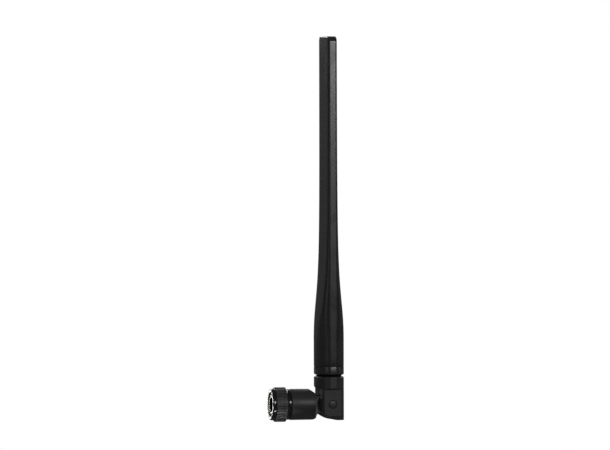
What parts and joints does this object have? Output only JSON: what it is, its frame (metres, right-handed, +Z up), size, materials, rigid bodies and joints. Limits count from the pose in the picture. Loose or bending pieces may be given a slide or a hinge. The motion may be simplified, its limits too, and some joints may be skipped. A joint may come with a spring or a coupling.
{
  "type": "articulated omnidirectional antenna",
  "caption": "Flat-blade dipole antenna on a tilting fork hinge and a swivel knuckle, with a knurled screw-on reverse-polarity TNC plug.",
  "frame": {"origin": "centre of the plug's front face, on the connector's axis", "axes": "+X from the plug into the knuckle, +Y along the hinge axis, +Z up the blade at rest (bent 90 degrees)"},
  "size_m": [0.0326, 0.021, 0.1692],
  "materials": {
    "black_satin": "black moulded ABS, satin, fine texture",
    "black_gloss": "black moulded plastic, polished",
    "nickel": "satin nickel plate over brass",
    "gold": "gold-plated contact",
    "steel": "spring steel",
    "ptfe": "white PTFE, waxy",
    "rubber": "moulded rubber",
    "cable": "FEP cable jacket, brown, translucent sheen",
    "board": "FR4 laminate with green solder mask",
    "copper": "bare copper foil",
    "solder": "dull tin solder",
    "foam": "closed-cell foam"
  },
  "bodies": {
    "connector": {"outer_contact_shell": "nickel", "connector_insulator": "ptfe", "center_contact": "gold", "mating_gasket": "rubber", "nut_retaining_ring": "steel", "swivel_clip": "steel", "swivel_o_ring": "rubber", "crimp_ferrule": "nickel", "coax_knuckle_run": "cable"},
    "coupling": {"coupling_nut_shell": "black_gloss", "coupling_thread_insert": "nickel"},
    "knuckle": {"knuckle_body": "black_satin", "coax_bend": "cable"},
    "antenna": {"hinge_housing": "black_satin", "hinge_pin_near": "black_gloss", "hinge_pin_far": "black_gloss", "pin_washer_near": "steel", "pin_washer_far": "steel", "detent_ball": "steel", "detent_spring": "steel", "neck_plug": "black_satin", "radome_shell": "black_satin", "coax_blade_run": "cable", "balun_sleeve": "steel", "cable_sleeve": "rubber", "dipole_board": "board", "feed_line": "copper", "ground_line": "copper", "upper_radiator": "copper", "lower_radiator": "copper", "high_band_radiator": "copper", "feed_solder": "solder", "ground_solder": "solder", "board_pad_lower": "foam", "board_pad_upper": "foam"}
  },
  "joints": [
    {"name": "coupling_spin", "type": "hinge", "parent": "connector", "child": "coupling", "pos_m": [0, 0, 0], "axis": [1, 0, 0], "continuous": true},
    {"name": "base_swivel", "type": "hinge", "parent": "connector", "child": "knuckle", "pos_m": [0.0105, 0, 0], "axis": [1, 0, 0], "range_deg": [-180, 180]},
    {"name": "elbow_tilt", "type": "hinge", "parent": "knuckle", "child": "antenna", "pos_m": [0.0263, 0, 0], "axis": [0, 1, 0], "range_deg": [0, 90], "deforming": ["coax_bend"]}
  ]
}
